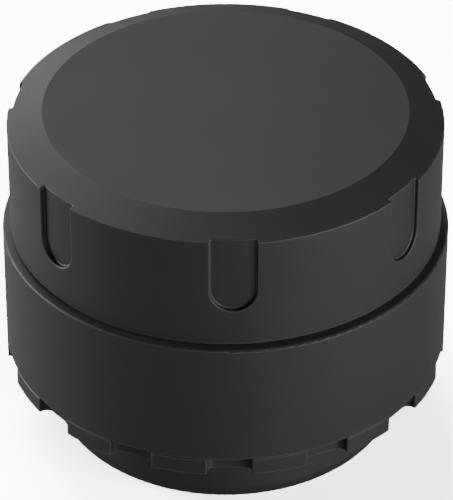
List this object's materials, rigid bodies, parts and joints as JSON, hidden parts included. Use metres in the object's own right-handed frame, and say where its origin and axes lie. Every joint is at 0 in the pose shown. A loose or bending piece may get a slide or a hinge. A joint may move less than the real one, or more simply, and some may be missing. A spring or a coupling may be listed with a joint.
{
  "type": "tire pressure monitor",
  "caption": "Screw-on tire pressure sensor: bevelled cover with grip slots, plain collar, notched key flange and a boss with a valve thread.",
  "frame": {"origin": "centre of the boss's lower face, on the valve axis", "axes": "+Z along the valve axis, away from the wheel; -Y faces the view in which one grip slot is nearly central"},
  "size_m": [0.026, 0.026, 0.0208],
  "materials": {
    "cover_plastic": "satin black moulded nylon",
    "collar_plastic": "satin black moulded nylon",
    "base_plastic": "satin black moulded nylon",
    "seal_rubber": "smooth black nitrile rubber",
    "gasket_rubber": "smooth black rubber",
    "port_silicone": "red silicone",
    "pad_silicone": "grey silicone foam",
    "brass": "turned brass",
    "pin_steel": "turned stainless steel",
    "lid_steel": "stamped, matt",
    "package_black": "matt moulding compound",
    "board_green": "green solder mask",
    "cradle_plastic": "natural nylon",
    "cell_steel": "polished nickel-plated steel",
    "cap_steel": "nickel-plated steel, matt",
    "cell_polymer": "translucent polypropylene",
    "cell_filling": "pressed black powder",
    "contact_metal": "tin-plated spring steel",
    "antenna_copper": "enamelled copper wire",
    "crystal_metal": "plated lid",
    "ferrite": "ferrite and enamelled wire",
    "ceramic": "fired ceramic with tinned ends",
    "resistor_black": "glazed ceramic with tinned ends",
    "screw_steel": "zinc-plated"
  },
  "bodies": {
    "base": {"cover_seal": "seal_rubber", "collar": "collar_plastic", "sensor_base": "base_plastic", "valve_insert": "brass", "valve_gasket": "gasket_rubber", "valve_pin": "pin_steel", "port_seal": "port_silicone", "sensor_lid": "lid_steel", "sensor_package": "package_black", "circuit_board": "board_green", "battery_cradle": "cradle_plastic", "cell_can": "cell_steel", "cell_cap": "cap_steel", "cell_gasket": "cell_polymer", "cell_pellet": "cell_filling", "negative_contact": "contact_metal", "positive_contacts": "contact_metal", "antenna_loop": "antenna_copper", "crystal_can": "crystal_metal", "rf_inductor": "ferrite", "chip_capacitors": "ceramic", "chip_resistors": "resistor_black", "board_screws": "screw_steel"},
    "pad": {"cell_pad": "pad_silicone"},
    "cover": {"top_cover": "cover_plastic"}
  },
  "joints": [
    {"name": "cover_lift", "type": "slide", "parent": "base", "child": "pad", "axis": [0, 0, 1], "range_m": [0, 0.00325]},
    {"name": "cover_turn", "type": "hinge", "parent": "pad", "child": "cover", "pos_m": [0, 0, 0.0165], "axis": [0, 0, 1], "range_deg": [0, 720]}
  ],
  "couplings": [
    {"joint": "cover_lift", "follows": "cover_turn", "m_per_rad": 0.00025465}
  ]
}
